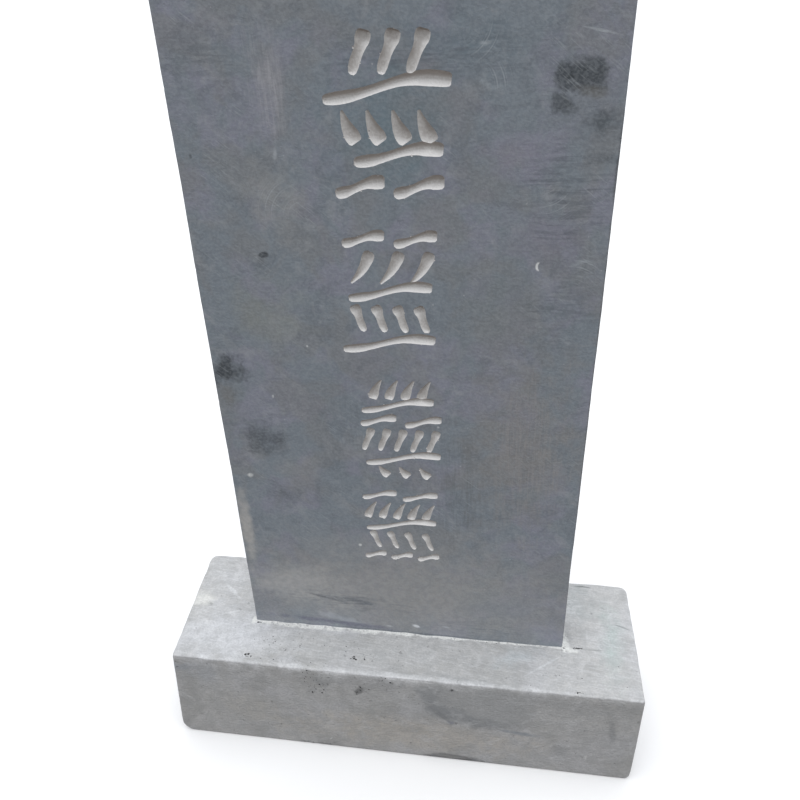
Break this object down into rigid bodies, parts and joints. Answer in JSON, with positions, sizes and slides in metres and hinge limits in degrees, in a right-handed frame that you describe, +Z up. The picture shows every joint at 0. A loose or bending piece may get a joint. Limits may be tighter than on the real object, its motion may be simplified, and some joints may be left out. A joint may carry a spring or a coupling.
{
  "type": "carved stone stele on a plinth",
  "caption": "Upright flat stone tablet with a column of shallow cut marks, mortared into a long rectangular stone plinth; stands on its own weight.",
  "frame": {"origin": "middle of the plinth's underside, which is the middle of the part's underside", "axes": "+X along the plinth's length to the viewer's right, +Y from the carved front to the back, +Z up"},
  "size_m": [0.6014, 0.188, 0.948],
  "materials": {
    "bluestone": "honed dark blue-grey limestone, with lighter dusty cuts",
    "grey_stone": "sawn light grey stone, weathered",
    "lime_mortar": "off-white trowelled lime mortar"
  },
  "bodies": {
    "root": {"tablet": "bluestone", "plinth": "grey_stone", "mortar_joint": "lime_mortar"}
  },
  "joints": []
}
